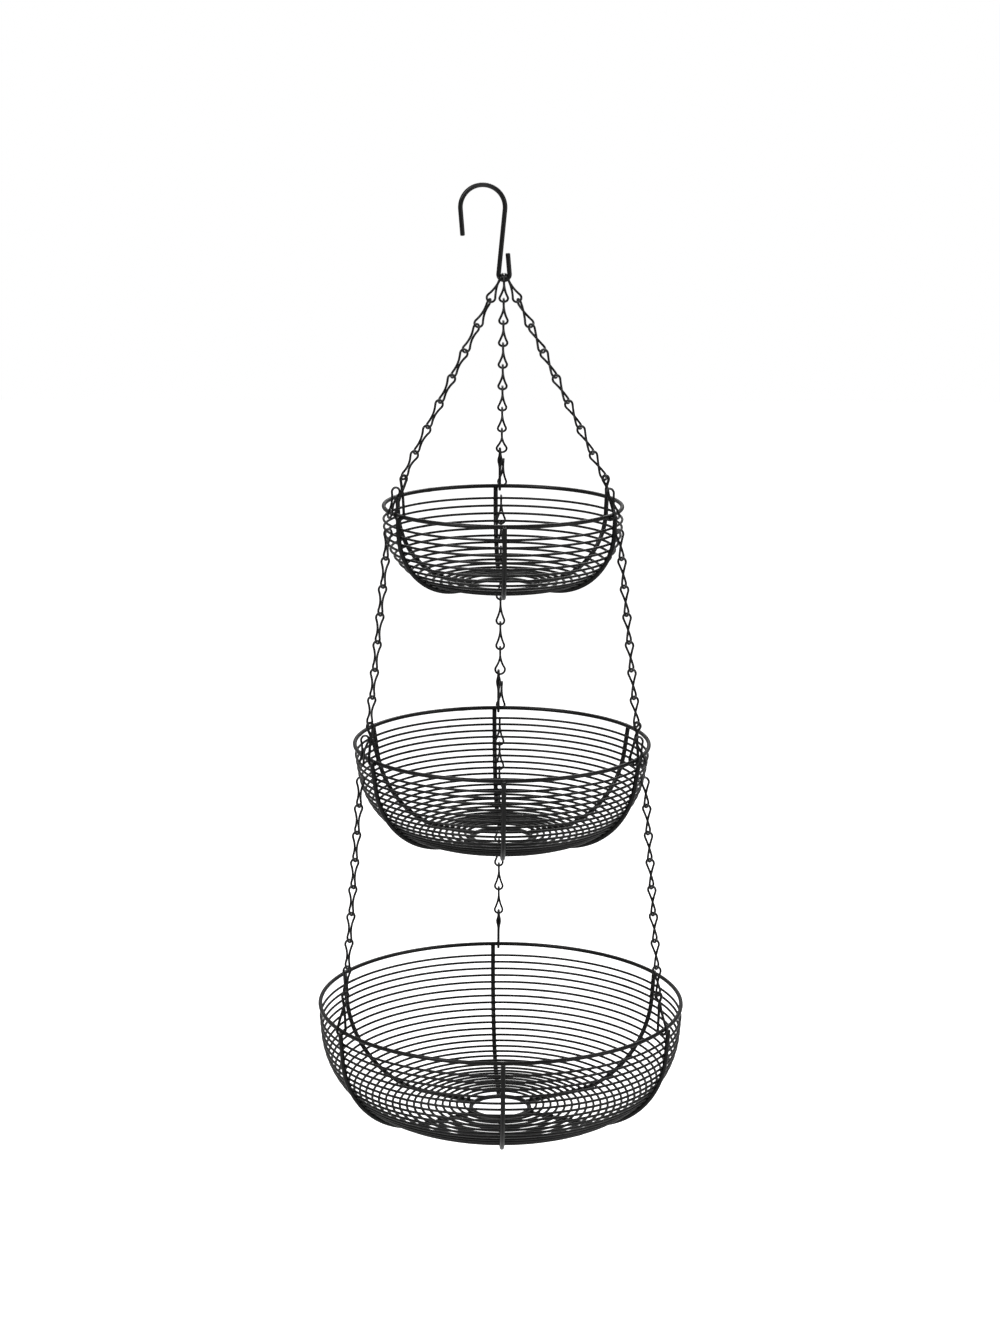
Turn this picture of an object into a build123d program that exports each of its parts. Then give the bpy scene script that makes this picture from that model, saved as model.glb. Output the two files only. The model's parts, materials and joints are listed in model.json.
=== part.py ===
from build123d import *

import math
import os
from dataclasses import dataclass

# Hanging fruit basket: an S-hook, three link chains, nine wire hangers and three wire baskets.
# Millimetres, +Z up. The origin is the saddle of the S-hook, the inside top of its upper bend.
# The front of the object faces -Y. One chain hangs at the back, one front left, one front right.

os.makedirs("parts", exist_ok=True)

# S-hook
hook_wire = 4.0
hook_top_radius = 18.7
hook_bottom_radius = 4.6
hook_offset = 18.1
hook_height = 55.8
hook_top_tail = 22.2
hook_top_tail_lean = 4.8
hook_bottom_tail = 17.5
hook_bottom_tail_lean = 5.0
hook_tip_round = 0.8

# Chain links
link_wire = 2.0
link_length = 26.15
link_play = 0.3
loop_radius = 3.6
carrier_loop_radius = 4.4
hook_loop_radius = 3.8
crossing_share = 0.885
upper_links = 8
middle_links = 8
lower_links = 9
upper_lead_lean = 31.0
lower_lead_lean = 17.5
lead_gap = 0.5

# Seats of the first links in the hook, measured from the centre of its lower bend
back_seat_y = -1.93
back_seat_z = -1.96
side_seat_x = -1.19
side_seat_y = 1.05
side_seat_z = 0.30
seat_twists = (64.0, 42.0, 20.0)

# Hangers
hanger_wire = 2.4
hanger_eye_radius = 2.9
hanger_foot_radius = 4.2
hanger_length = 31.5
hanger_waist = 7.9
hanger_bend = 2.0
hanger_gap = 0.3

# Wire work of the baskets
rim_wire = 3.6
rib_wire = 4.0
ring_wire = 2.2
rib_tip_round = 0.8
weld_bite = 0.25
rim_bite = 0.3
centre_ring_radius = 26.0
rib_gap = 0.4

# Top basket
top_rim_radius = 102.0
top_depth = 66.7
top_wall_lean = 2.5
top_corner_radius = 53.7
top_eye_offset = -4.6
top_first_ring = 11.0
top_ring_pitch = 6.95

# Mid basket
mid_rim_radius = 128.0
mid_depth = 82.6
mid_wall_lean = 9.5
mid_corner_radius = 69.5
mid_eye_offset = 2.8
mid_first_ring = 9.6
mid_ring_pitch = 5.65

# Bottom basket
bottom_rim_radius = 160.0
bottom_depth = 97.9
bottom_wall_lean = 4.6
bottom_corner_radius = 78.8
bottom_eye_offset = -4.4
bottom_first_ring = 11.3
bottom_ring_pitch = 6.35

chain_sides = {"back": 90.0, "left": 210.0, "right": 330.0}


@dataclass
class Tier:
    """One basket: its rim, its bowl, how far outside the rim its hangers' eyes sit, and its rings."""

    name: str
    rim_radius: float
    depth: float
    wall_lean: float
    corner_radius: float
    eye_offset: float
    first_ring: float
    ring_pitch: float
    level: float = 0.0


tiers = (
    Tier(
        "top",
        top_rim_radius,
        top_depth,
        top_wall_lean,
        top_corner_radius,
        top_eye_offset,
        top_first_ring,
        top_ring_pitch,
    ),
    Tier(
        "mid",
        mid_rim_radius,
        mid_depth,
        mid_wall_lean,
        mid_corner_radius,
        mid_eye_offset,
        mid_first_ring,
        mid_ring_pitch,
    ),
    Tier(
        "bottom",
        bottom_rim_radius,
        bottom_depth,
        bottom_wall_lean,
        bottom_corner_radius,
        bottom_eye_offset,
        bottom_first_ring,
        bottom_ring_pitch,
    ),
)


def downward(lean):
    """Unit vector in the X-Z plane that leads down and leans outwards by an angle in degrees."""
    return Vector(math.sin(math.radians(lean)), 0, -math.cos(math.radians(lean)))


def polar(radius, angle):
    """Point in the X-Z plane at a radius and an angle in degrees from +X towards +Z."""
    return Vector(radius * math.cos(math.radians(angle)), 0, radius * math.sin(math.radians(angle)))


def bend(corner, before, after, tangent):
    """Start, middle and end of the arc that rounds a corner, a tangent length from it."""
    to_start = (before - corner).normalized()
    to_end = (after - corner).normalized()
    half_opening = math.radians(to_start.get_angle(to_end)) / 2
    radius = tangent * math.tan(half_opening)
    sagitta = radius / math.sin(half_opening) - radius
    middle = corner + (to_start + to_end).normalized() * sagitta
    return corner + to_start * tangent, middle, corner + to_end * tangent


def round_wire(path, diameter):
    """Sweep a round section along a path within the builder that calls this."""
    course = path.wires()[0]
    with BuildSketch(Plane(origin=course @ 0, z_dir=course % 0)) as section:
        Circle(diameter / 2)
    sweep(sections=section.sketch, path=course)


# The hook's two bends and the straight leg that touches both
top_bend = Vector(0, 0, -(hook_top_radius - hook_wire / 2))
bottom_bend = top_bend + Vector(hook_offset, 0, -hook_height)
bend_distance = math.hypot(hook_offset, hook_height)
bend_angle = math.degrees(math.atan2(hook_height, -hook_offset))
leg_angle = bend_angle - math.degrees(math.asin((hook_top_radius + hook_bottom_radius) / bend_distance))
axis = Vector(bottom_bend.X, 0, 0)

with BuildPart() as s_hook:
    leg_top = top_bend - polar(hook_top_radius, leg_angle + 90)
    leg_bottom = bottom_bend + polar(hook_bottom_radius, leg_angle + 90)
    top_exit = top_bend + polar(hook_top_radius, 180 + hook_top_tail_lean)
    bottom_exit = bottom_bend + polar(hook_bottom_radius, hook_bottom_tail_lean)
    with BuildLine() as hook_path:
        Line(top_exit + polar(hook_top_tail, hook_top_tail_lean - 90), top_exit)
        ThreePointArc(top_exit, top_bend + polar(hook_top_radius, 90), leg_top)
        Line(leg_top, leg_bottom)
        ThreePointArc(leg_bottom, bottom_bend + polar(hook_bottom_radius, -90), bottom_exit)
        Line(bottom_exit, bottom_exit + polar(hook_bottom_tail, 90 + hook_bottom_tail_lean))
    round_wire(hook_path, hook_wire)
    fillet(s_hook.faces().filter_by(GeomType.PLANE).edges(), hook_tip_round)
s_hook.part.label = "s_hook"
export_step(s_hook.part, "parts/s_hook.step")


def loop_exit(radius):
    """Where a link's loop passes into the straight leg that points at the waist, and the loop's centre."""
    centre = link_length / 2 - radius
    angle = math.asin(radius / centre)
    return Vector(radius * math.cos(angle), 0, centre - radius * math.sin(angle))


def make_loop(exit_point, leg_end):
    """One open loop of a link with its two straight legs, in the X-Z plane above the waist."""
    with BuildPart() as loop:
        with BuildLine() as loop_path:
            Line(leg_end, exit_point)
            ThreePointArc(exit_point, Vector(0, 0, link_length / 2), exit_point.rotate(Axis.Z, 180))
            Line(exit_point.rotate(Axis.Z, 180), leg_end.rotate(Axis.Z, 180))
        round_wire(loop_path, link_wire)
    return loop.part


def make_link(top_radius, foot_radius):
    """A double-loop link of one wire: the top loop in the X-Z plane, the foot loop in the Y-Z plane.

    The wire crosses itself at the waist, the origin, where its two strands pass beside each other.
    Each strand bends past the waist over a share of its shorter leg.
    """
    top_exit = loop_exit(top_radius)
    foot_exit = loop_exit(foot_radius).rotate(Axis.Y, 180).rotate(Axis.Z, 90)
    shorter_leg = min(top_exit.length, foot_exit.length)
    start, middle, end = bend(Vector(0, 0, 0), top_exit, foot_exit, shorter_leg * crossing_share)
    with BuildPart() as crossing:
        with BuildLine() as crossing_path:
            ThreePointArc(start, middle, end)
        round_wire(crossing_path, link_wire)
    foot_end = end.rotate(Axis.Z, -90).rotate(Axis.Y, 180)
    with BuildPart() as link:
        add(make_loop(top_exit, start))
        add(make_loop(loop_exit(foot_radius), foot_end), rotation=(0, 180, 90))
        add(crossing.part)
        add(crossing.part, rotation=(0, 0, 180))
    return link.part


def make_hanger():
    """A wire hanger: an eye round the origin, a crossed waist below it and a foot that holds the rim.

    It lies in the X-Z plane and leads down along -Z.
    """
    waist = Vector(0, 0, -hanger_waist)
    foot_centre = Vector(0, 0, hanger_foot_radius - rim_wire / 2 - hanger_wire / 2 - hanger_gap - hanger_length)
    eye_angle = math.degrees(math.asin(hanger_eye_radius / hanger_waist))
    foot_angle = math.degrees(math.asin(hanger_foot_radius / (waist - foot_centre).length))
    eye_exit = polar(hanger_eye_radius, 180 + eye_angle)
    foot_exit = foot_centre + polar(hanger_foot_radius, foot_angle)
    start, middle, end = bend(waist, eye_exit, foot_exit, hanger_bend)
    with BuildPart() as strand:
        with BuildLine() as strand_path:
            ThreePointArc(polar(hanger_eye_radius, 90), polar(hanger_eye_radius, 135 + eye_angle / 2), eye_exit)
            Line(eye_exit, start)
            ThreePointArc(start, middle, end)
            Line(end, foot_exit)
            ThreePointArc(
                foot_exit,
                foot_centre + polar(hanger_foot_radius, (foot_angle - 90) / 2),
                foot_centre - Vector(0, 0, hanger_foot_radius),
            )
        round_wire(strand_path, hanger_wire)
    with BuildPart() as hanger:
        add(strand.part)
        add(strand.part, rotation=(0, 0, 180))
    return hanger.part


plain_link = make_link(loop_radius, loop_radius)
carrier_link = make_link(loop_radius, carrier_loop_radius)
hook_link = make_link(hook_loop_radius, loop_radius)
hanger_wire_form = make_hanger()

# The chains' course in a half plane from the basket axis, X outwards, shared by all three sides
link_reach = (link_wire + link_play) / 2
link_pitch = link_length - 2 * link_reach
back_start = bottom_bend + Vector(0, back_seat_y, back_seat_z)
left_start = bottom_bend + Vector(side_seat_x, side_seat_y, side_seat_z)
right_start = bottom_bend + Vector(-side_seat_x, side_seat_y, side_seat_z)
left_angle = math.radians(chain_sides["left"])

# Beside each other in a carrier link's foot loop hang a hanger's eye and the next link of the chain
carrier_inner = carrier_loop_radius - link_wire / 2
side_gap = (2 * carrier_inner - link_wire - hanger_wire) / 3
eye_shift = carrier_inner - side_gap - hanger_wire / 2
lead_shift = carrier_inner - side_gap - link_wire / 2
eye_seat = math.sqrt((carrier_inner - hanger_wire / 2 - lead_gap) ** 2 - eye_shift**2)
lead_seat = math.sqrt((carrier_inner - link_wire / 2 - lead_gap) ** 2 - lead_shift**2)


def lean_to(start_radius, end_radius, length):
    """Outward lean in degrees of a straight run of a given length between two radii."""
    return math.degrees(math.asin((end_radius - start_radius) / length))


# Upper run: from the hook to the top basket's eyes
upper_eye_radius = tiers[0].rim_radius + tiers[0].eye_offset
upper_eye_left = Vector(upper_eye_radius * math.cos(left_angle), upper_eye_radius * math.sin(left_angle), 0)
upper_flat = (upper_eye_left + axis - Vector(left_start.X, left_start.Y, 0)).length
upper_run = upper_links * link_pitch + link_reach
upper_node = Vector(upper_eye_radius, 0, left_start.Z - math.sqrt(upper_run**2 - upper_flat**2))
upper_lean = math.degrees(math.asin(upper_flat / upper_run))


@dataclass
class Carrier:
    """Places below the last link of a run: its foot, the hanger's eye and the start of the lead link.

    The seat is where the eye's wire lies in the foot loop, and where the link turns against the hanger.
    """

    foot: Vector
    seat: Vector
    eye: Vector
    lead_top: Vector


def carrier_at(node, lean, lead_lean):
    """Work out what hangs in a carrier link's foot loop, whose contact point is the node."""
    foot = node + downward(lean) * link_reach
    loop_centre = foot - downward(lean) * carrier_loop_radius
    seat = loop_centre + downward(lean) * eye_seat
    eye = seat + downward(lean) * hanger_eye_radius
    lead_centre = loop_centre + downward(lean) * (lead_seat + loop_radius)
    return Carrier(foot, seat, eye, lead_centre - downward(lead_lean) * loop_radius)


def rim_level(eye, rim_radius):
    """Height of a rim that hangs by a hanger's length below an eye."""
    return eye.Z - math.sqrt(hanger_length**2 - (rim_radius - eye.X) ** 2)


upper_carrier = carrier_at(upper_node, upper_lean, upper_lead_lean)
tiers[0].level = rim_level(upper_carrier.eye, tiers[0].rim_radius)

# Middle run: one lead link that clears the top rim, then straight down to the mid basket's eyes
middle_start = upper_carrier.lead_top + downward(upper_lead_lean) * (link_length - link_reach)
middle_eye_radius = tiers[1].rim_radius + tiers[1].eye_offset
middle_lean = lean_to(middle_start.X, middle_eye_radius, middle_links * link_pitch)
middle_node = middle_start + downward(middle_lean) * (middle_links * link_pitch)
middle_carrier = carrier_at(middle_node, middle_lean, lower_lead_lean)
tiers[1].level = rim_level(middle_carrier.eye, tiers[1].rim_radius)

# Lower run: one lead link that clears the mid rim, then straight down to the bottom basket's eyes
lower_start = middle_carrier.lead_top + downward(lower_lead_lean) * (link_length - link_reach)
lower_eye_radius = tiers[2].rim_radius + tiers[2].eye_offset
lower_lean = lean_to(lower_start.X, lower_eye_radius, lower_links * link_pitch)
lower_node = lower_start + downward(lower_lean) * (lower_links * link_pitch)
lower_foot = lower_node + downward(lower_lean) * link_reach
last_eye = lower_foot - downward(lower_lean) * (loop_radius - hanger_eye_radius)
last_eye_seat = loop_radius - link_wire / 2 - hanger_wire / 2 - lead_gap
last_eye = last_eye + downward(lower_lean) * last_eye_seat
tiers[2].level = rim_level(last_eye, tiers[2].rim_radius)


def spot(point, angle, shift=0.0):
    """Turn a point of the half plane to a side's angle about the basket axis, with a sideways shift."""
    return axis + Vector(point.X, shift, point.Z).rotate(Axis.Z, angle)


def link_places(top, foot, count, angle, twists=()):
    """Locations of a straight run of links between the tops of its first and the foot of its last."""
    along = (foot - top).normalized()
    pitch = ((foot - top).length - link_length) / max(count - 1, 1)
    sideways = Vector(0, 1, 0).rotate(Axis.Z, angle)
    outwards = sideways.cross(along * -1)
    places = []
    for number in range(count):
        twist = math.radians(twists[number]) if number < len(twists) else 0.0
        facing = outwards * math.cos(twist) + sideways * math.sin(twist)
        centre = top + along * (number * pitch + link_length / 2)
        places.append(Plane(origin=centre, x_dir=facing, z_dir=along * -1).location)
    return places


def hanger_place(eye, rim_point, angle):
    """Location of a hanger that leads from an eye to a point on the rim."""
    along = (rim_point - eye).normalized()
    outwards = Vector(0, 1, 0).rotate(Axis.Z, angle).cross(along * -1)
    return Plane(origin=eye, x_dir=outwards, z_dir=along * -1).location


starts = {"back": back_start, "left": left_start, "right": right_start}
twists = {"back": (), "left": seat_twists, "right": [-twist for twist in seat_twists]}
lead_end = upper_carrier.lead_top + downward(upper_lead_lean) * link_length
low_lead_end = middle_carrier.lead_top + downward(lower_lead_lean) * link_length
hinge_points = {}
for side, angle in chain_sides.items():
    upper_foot = spot(upper_carrier.foot, angle)
    upper_places = link_places(starts[side], upper_foot, upper_links, angle, twists[side])
    with BuildPart() as upper_chain:
        with Locations(upper_places[0]):
            add(hook_link)
        with Locations(*upper_places[1:-1]):
            add(plain_link)
        with Locations(upper_places[-1]):
            add(carrier_link)
    upper_chain.part.label = f"upper_chain_{side}"
    export_step(upper_chain.part, f"parts/upper_chain_{side}.step")

    # The middle chain starts with its lead link and one more, which stay with the top basket
    lead_top = spot(upper_carrier.lead_top, angle, -lead_shift)
    lead_places = link_places(lead_top, spot(lead_end, angle, -lead_shift), 1, angle)
    run_top = spot(middle_start - downward(middle_lean) * link_reach, angle)
    run_foot = spot(middle_carrier.foot, angle)
    run_places = link_places(run_top, run_foot, middle_links, angle)
    with BuildPart() as middle_chain_lead:
        with Locations(lead_places[0], run_places[0]):
            add(plain_link)
    middle_chain_lead.part.label = f"middle_chain_lead_{side}"
    export_step(middle_chain_lead.part, f"parts/middle_chain_lead_{side}.step")

    with BuildPart() as middle_chain:
        with Locations(*run_places[1:-1]):
            add(plain_link)
        with Locations(run_places[-1]):
            add(carrier_link)
    middle_chain.part.label = f"middle_chain_{side}"
    export_step(middle_chain.part, f"parts/middle_chain_{side}.step")

    # The lower chain starts the same way, with two links that stay with the mid basket
    low_top = spot(middle_carrier.lead_top, angle, -lead_shift)
    low_places = link_places(low_top, spot(low_lead_end, angle, -lead_shift), 1, angle)
    low_run_top = spot(lower_start - downward(lower_lean) * link_reach, angle)
    low_run_places = link_places(low_run_top, spot(lower_foot, angle), lower_links, angle)
    with BuildPart() as lower_chain_lead:
        with Locations(low_places[0], low_run_places[0]):
            add(plain_link)
    lower_chain_lead.part.label = f"lower_chain_lead_{side}"
    export_step(lower_chain_lead.part, f"parts/lower_chain_lead_{side}.step")

    with BuildPart() as lower_chain:
        with Locations(*low_run_places[1:]):
            add(plain_link)
    lower_chain.part.label = f"lower_chain_{side}"
    export_step(lower_chain.part, f"parts/lower_chain_{side}.step")

    for tier, eye, shift in zip(tiers, (upper_carrier.eye, middle_carrier.eye, last_eye), (eye_shift, eye_shift, 0)):
        rim_point = spot(Vector(tier.rim_radius, 0, tier.level), angle, shift)
        with BuildPart() as hanger:
            with Locations(hanger_place(spot(eye, angle, shift), rim_point, angle)):
                add(hanger_wire_form)
        hanger.part.label = f"{tier.name}_hanger_{side}"
        export_step(hanger.part, f"parts/{tier.name}_hanger_{side}.step")

    middle_pitch = downward(middle_lean) * link_pitch
    lower_pitch = downward(lower_lean) * link_pitch
    hinge_points[f"middle_{side}"] = spot(middle_start + middle_pitch, angle)
    hinge_points[f"middle_foot_{side}"] = spot(middle_carrier.seat, angle)
    hinge_points[f"lower_{side}"] = spot(lower_start + lower_pitch, angle)
    hinge_points[f"rim_{side}"] = spot(Vector(tiers[2].rim_radius, 0, tiers[2].level), angle)


ring_outset = (ring_wire + rib_wire) / 2 - weld_bite
chain_step = 360 / len(chain_sides)


class Bowl:
    """The line that a basket's rings follow: a leaning wall, a round corner and a flat floor."""

    def __init__(self, tier, outset=0.0):
        """Lay the line out for a tier, moved outwards by an outset."""
        lean = math.radians(tier.wall_lean)
        rib_start = tier.rim_radius + (rim_wire + rib_wire) / 2 - rim_bite
        corner = tier.corner_radius
        self.wall = Vector(-math.sin(lean), 0, -math.cos(lean))
        self.start = Vector(rib_start - (ring_outset - outset) * math.cos(lean), 0, 0)
        drop = tier.depth - corner * (1 - math.sin(lean))
        self.wall_length = drop / math.cos(lean)
        self.turn = math.pi / 2 - lean
        self.radius = corner + outset
        wall_end = Vector(rib_start - ring_outset * math.cos(lean), 0, 0) + self.wall * self.wall_length
        self.centre = wall_end + Vector(-math.cos(lean), 0, math.sin(lean)) * corner
        self.wall_end = self.centre + Vector(math.cos(lean), 0, -math.sin(lean)) * self.radius
        self.middle = self.centre + polar(self.radius, -math.degrees(lean + self.turn / 2))
        self.floor_start = self.centre - Vector(0, 0, self.radius)

    def length_to(self, radius):
        """Length of the line from the rim's level to a radius on the floor."""
        return self.wall_length + self.radius * self.turn + self.floor_start.X - radius

    def at(self, length):
        """Point at a length along the line."""
        if length < self.wall_length:
            return self.start + self.wall * length
        bent = (length - self.wall_length) / self.radius
        if bent < self.turn:
            return self.centre + polar(self.radius, math.degrees(self.turn - math.pi / 2 - bent))
        return self.floor_start - Vector(length - self.wall_length - self.radius * self.turn, 0, 0)


for tier in tiers:
    place = axis + Vector(0, 0, tier.level)
    with BuildPart() as rim:
        with Locations(place):
            Torus(tier.rim_radius, rim_wire / 2)
    rim.part.label = f"{tier.name}_rim"
    export_step(rim.part, f"parts/{tier.name}_rim.step")

    # Three ribs stand beside the hangers, and three midway between them
    bowl = Bowl(tier)
    rib_bowl = Bowl(tier, ring_outset)
    rib_end = Vector(centre_ring_radius + (rib_wire - weld_bite) / 2, 0, rib_bowl.floor_start.Z)
    with BuildPart() as rib:
        with BuildLine() as rib_path:
            Line(rib_bowl.start, rib_bowl.wall_end)
            ThreePointArc(rib_bowl.wall_end, rib_bowl.middle, rib_bowl.floor_start)
            Line(rib_bowl.floor_start, rib_end)
        round_wire(rib_path, rib_wire)
        top_face = rib.faces().filter_by(GeomType.PLANE).sort_by(Axis.Z)[-1]
        fillet(top_face.edges(), rib_tip_round)

    beside_hanger = (rib_wire + hanger_wire) / 2 + rib_gap + eye_shift
    rib_angle = math.degrees(math.asin(beside_hanger / rib_bowl.start.X))
    with BuildPart() as ribs:
        with Locations(place):
            with PolarLocations(0, len(chain_sides), start_angle=chain_sides["back"] + rib_angle):
                add(rib.part)
            with PolarLocations(0, len(chain_sides), start_angle=chain_sides["back"] + chain_step / 2):
                add(rib.part)
    ribs.part.label = f"{tier.name}_ribs"
    export_step(ribs.part, f"parts/{tier.name}_ribs.step")

    # Rings at even steps, the last one a step outside the centre ring
    ring_reach = bowl.length_to(centre_ring_radius + tier.ring_pitch) - tier.first_ring
    ring_count = round(ring_reach / tier.ring_pitch) + 1
    ring_step = ring_reach / (ring_count - 1)
    ring_points = [bowl.at(tier.first_ring + ring_step * number) for number in range(ring_count)]
    floor_points = [point for point in ring_points if point.Z - bowl.floor_start.Z < ring_wire / 2]
    with BuildPart() as wall_rings:
        for point in ring_points[: -len(floor_points)]:
            with Locations(place + Vector(0, 0, point.Z)):
                Torus(point.X, ring_wire / 2)
    wall_rings.part.label = f"{tier.name}_wall_rings"
    export_step(wall_rings.part, f"parts/{tier.name}_wall_rings.step")

    with BuildPart() as floor_rings:
        for point in floor_points:
            with Locations(place + Vector(0, 0, point.Z)):
                Torus(point.X, ring_wire / 2)
    floor_rings.part.label = f"{tier.name}_floor_rings"
    export_step(floor_rings.part, f"parts/{tier.name}_floor_rings.step")

    with BuildPart() as centre_ring:
        with Locations(place + Vector(0, 0, rib_bowl.floor_start.Z)):
            Torus(centre_ring_radius, rib_wire / 2)
    centre_ring.part.label = f"{tier.name}_centre_ring"
    export_step(centre_ring.part, f"parts/{tier.name}_centre_ring.step")

hinge_points["hook"] = bottom_bend - Vector(0, 0, hook_bottom_radius)
for name, point in hinge_points.items():
    print(f"{name} {point.X:.3f} {point.Y:.3f} {point.Z:.3f}")
for tier in tiers:
    print(f"{tier.name} rim level {tier.level:.2f}")
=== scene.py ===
"""Hanging fruit basket: the finish and the wire work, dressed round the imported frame.

Every size is in metres. The origin is the saddle of the S-hook, +Z is up and the front faces -Y.
"""

import json
import logging
import math
from collections.abc import Sequence
from dataclasses import dataclass
from enum import Enum

import bmesh
import bpy
import numpy as np
from mathutils import Matrix, Vector

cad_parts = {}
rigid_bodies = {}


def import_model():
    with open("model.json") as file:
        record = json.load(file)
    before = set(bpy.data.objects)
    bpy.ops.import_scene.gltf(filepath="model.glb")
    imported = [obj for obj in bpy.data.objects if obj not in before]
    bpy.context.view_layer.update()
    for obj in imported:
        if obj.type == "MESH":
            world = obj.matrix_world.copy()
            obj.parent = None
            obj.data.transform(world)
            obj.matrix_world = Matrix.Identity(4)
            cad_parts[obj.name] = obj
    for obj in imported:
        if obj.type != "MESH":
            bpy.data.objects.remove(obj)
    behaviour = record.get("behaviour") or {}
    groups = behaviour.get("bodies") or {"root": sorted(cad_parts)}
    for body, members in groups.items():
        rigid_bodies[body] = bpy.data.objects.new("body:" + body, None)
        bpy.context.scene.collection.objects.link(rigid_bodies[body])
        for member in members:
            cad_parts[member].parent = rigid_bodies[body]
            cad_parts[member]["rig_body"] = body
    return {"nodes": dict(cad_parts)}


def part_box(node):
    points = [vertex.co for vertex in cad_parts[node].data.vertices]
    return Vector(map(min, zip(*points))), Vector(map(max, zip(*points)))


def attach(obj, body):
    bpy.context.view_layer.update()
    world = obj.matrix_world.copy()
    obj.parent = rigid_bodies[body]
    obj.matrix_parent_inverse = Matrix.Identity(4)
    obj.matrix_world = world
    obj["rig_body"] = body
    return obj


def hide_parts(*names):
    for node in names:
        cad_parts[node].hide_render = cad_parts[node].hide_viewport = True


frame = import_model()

log = logging.getLogger("hanging_basket")
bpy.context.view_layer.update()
Point = Vector
Socket = bpy.types.NodeSocket
Piece = bpy.types.Object
Span = tuple[float, float]
# A form's place and turn, and a ring's centre and radius
Place = tuple[Point, Matrix]
Ring = tuple[Point, float]

# The rounded edge at a cut wire end: its radius as a share of the wire's, and its steps in degrees
TIP_ROUND = 0.4
TIP_ANGLES = (0, 22, 45, 68, 90)
# Points of a course that are nearer than this are one point
SAME_POINT = 1e-7
# Sine of the smallest turn by which an arc's plane is still known
FLAT_TURN = 1e-3
# Points of a frame node that agree to a micrometre are one point
MICRONS = 1e6
# A solid's width is measured above this share of its upper reach
UPPER_SHARE = 0.35
WHITE = (1.0, 1.0, 1.0, 1.0)


class Side(Enum):
    """The three chains, by their word in the names of the frame's nodes."""

    BACK = "back"
    LEFT = "left"
    RIGHT = "right"


class Tier(Enum):
    """The three baskets, by their word in the names of the frame's nodes."""

    TOP = "top"
    MID = "mid"
    BOTTOM = "bottom"

    @property
    def body(self) -> str:
        """The body that the basket rides on."""
        return f"{self.value}_tier"


class Section(Enum):
    """The sections of each chain from the hook down, by their word in the names of the frame's nodes."""

    UPPER = "upper_chain"
    MIDDLE_LEAD = "middle_chain_lead"
    MIDDLE = "middle_chain"
    LOWER_LEAD = "lower_chain_lead"
    LOWER = "lower_chain"


class LinkUse(Enum):
    """The links by what they do: hang in a link, hang in the hook, or carry a hanger and a lead link."""

    PLAIN = "plain"
    HOOK = "hook"
    CARRIER = "carrier"


class WireKind(Enum):
    """Wire by its use, with its word, its diameter and the number of sides it is drawn with."""

    HOOK = ("hook", 0.0040, 24)
    LINK = ("link", 0.0020, 10)
    HANGER = ("hanger", 0.0024, 12)
    RIM = ("rim", 0.0036, 18)
    RIB = ("rib", 0.0040, 16)
    RING = ("ring", 0.0022, 12)

    @property
    def radius(self) -> float:
        """Half the wire's diameter."""
        return self.value[1] / 2

    @property
    def sides(self) -> int:
        """Number of sides of the wire's section."""
        return self.value[2]


def add_node(
    tree: bpy.types.NodeTree, kind: str, feeds: dict | None = None, **settings: object
) -> bpy.types.Node:
    """Add a node to any tree, set its properties and fill its inputs.

    Args:
        tree: The tree that gets the node.
        kind: Blender's node type.
        feeds: Values or sockets by input name or number.
        settings: Properties of the node.

    Returns:
        The new node.
    """
    node = tree.nodes.new(kind)
    for name, value in settings.items():
        setattr(node, name, value)
    for key, value in (feeds or {}).items():
        if isinstance(value, Socket):
            tree.links.new(value, node.inputs[key])
        else:
            node.inputs[key].default_value = value
    return node


class NodeTree:
    """A node group under construction, with short ways to add, set and join its nodes."""

    def __init__(self, name: str, kind: str) -> None:
        """Start an empty group.

        Args:
            name: The group's name.
            kind: Blender's type of node group.
        """
        self.tree = bpy.data.node_groups.new(name, kind)
        self.inputs = self.tree.nodes.new("NodeGroupInput")
        self.outputs = self.tree.nodes.new("NodeGroupOutput")

    def take(self, name: str, kind: str) -> Socket:
        """Add a named input of one of Blender's kinds, and give its socket inside the group."""
        self.tree.interface.new_socket(name, in_out="INPUT", socket_type=f"NodeSocket{kind}")
        return self.inputs.outputs[name]

    def give(self, name: str, kind: str, source: Socket) -> None:
        """Add a named output of one of Blender's kinds that puts out a socket's value."""
        self.tree.interface.new_socket(name, in_out="OUTPUT", socket_type=f"NodeSocket{kind}")
        self.tree.links.new(source, self.outputs.inputs[name])

    def add(self, kind: str, feeds: dict | None = None, **settings: object) -> bpy.types.Node:
        """Add a node to the group, as add_node does."""
        return add_node(self.tree, kind, feeds, **settings)

    def calc(self, operation: str, *values: object, clamp: bool = False) -> Socket:
        """Add one of Blender's sums on numbers or sockets, kept between 0 and 1 where it is clamped."""
        feeds = dict(enumerate(values))
        return self.add("ShaderNodeMath", feeds, operation=operation, use_clamp=clamp).outputs[0]

    def remap(self, value: Socket, old: Span = (0.0, 1.0), new: Span = (0.0, 1.0), **settings: str) -> Socket:
        """Spread a value from an old span to a new one, as evenly as the settings say."""
        spans = {"From Min": old[0], "From Max": old[1], "To Min": new[0], "To Max": new[1]}
        return self.add("ShaderNodeMapRange", {"Value": value, **spans}, **settings).outputs[0]

    def blend(self, mask: Socket, under: object, over: object) -> Socket:
        """Blend two colours by a mask, over the sockets that the node has for colours."""
        return self.add("ShaderNodeMix", {0: mask, 6: under, 7: over}, data_type="RGBA").outputs[2]

    def named(self, name: str, kind: str = "FLOAT") -> Socket:
        """Socket that gives a named attribute of the points."""
        return self.add("GeometryNodeInputNamedAttribute", {"Name": name}, data_type=kind).outputs[0]


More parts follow.
